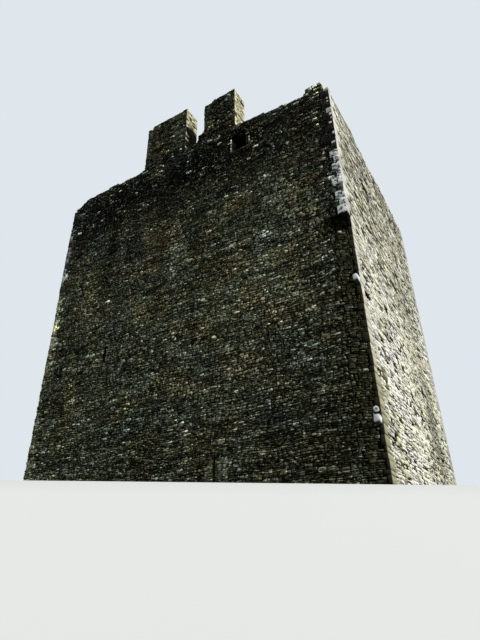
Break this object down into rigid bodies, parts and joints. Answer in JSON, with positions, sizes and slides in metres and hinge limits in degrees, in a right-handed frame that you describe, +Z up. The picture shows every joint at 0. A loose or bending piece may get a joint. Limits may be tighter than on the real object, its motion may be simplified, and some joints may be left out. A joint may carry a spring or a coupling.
{
  "type": "castle keep",
  "caption": "Square-built rubble stone castle keep with a paved roof, timber floors, an arched doorway, narrow loops, a small high window and a broken parapet with merlons.",
  "frame": {"origin": "centre of the footprint, on the ground", "axes": "+Z up, -Y out of the front with the two merlons, +X out of the pale right side"},
  "size_m": [12, 9.4, 16.63],
  "materials": {
    "shaded_rubble": "dark weathered slate rubble with open joints",
    "sunlit_rubble": "pale weathered slate rubble with open joints and lichen",
    "dressed_stone": "pale dressed stone, rough",
    "paving": "worn slate flags",
    "timber": "rough sawn, aged"
  },
  "bodies": {
    "root": {"front_wall": "shaded_rubble", "right_wall": "sunlit_rubble", "left_wall": "shaded_rubble", "back_wall_left": "shaded_rubble", "back_wall_right": "shaded_rubble", "back_wall_over_door": "shaded_rubble", "near_corner_quoins": "dressed_stone", "near_corner_patch": "shaded_rubble", "near_corner_blocks": "dressed_stone", "left_corner_quoins": "dressed_stone", "back_right_quoins": "dressed_stone", "back_left_quoins": "dressed_stone", "front_parapet": "shaded_rubble", "corner_stub": "shaded_rubble", "right_parapet": "sunlit_rubble", "back_parapet": "shaded_rubble", "left_parapet": "shaded_rubble", "merlon_wide": "shaded_rubble", "merlon_narrow": "shaded_rubble", "front_wall_walk": "paving", "right_wall_walk": "paving", "back_wall_walk": "paving", "left_wall_walk": "paving", "ground_floor": "paving", "first_floor_beams": "timber", "first_floor_boards": "timber", "second_floor_beams": "timber", "second_floor_boards": "timber", "roof_beams": "timber", "roof_deck": "paving", "upper_window_lintel": "dressed_stone", "upper_window_sill": "dressed_stone", "upper_window_jamb": "dressed_stone", "back_window_lintel": "dressed_stone", "back_window_sill": "dressed_stone", "base_loop_slabs": "shaded_rubble", "door_arch": "dressed_stone", "door_jambs": "dressed_stone", "door_threshold": "dressed_stone"}
  },
  "joints": []
}
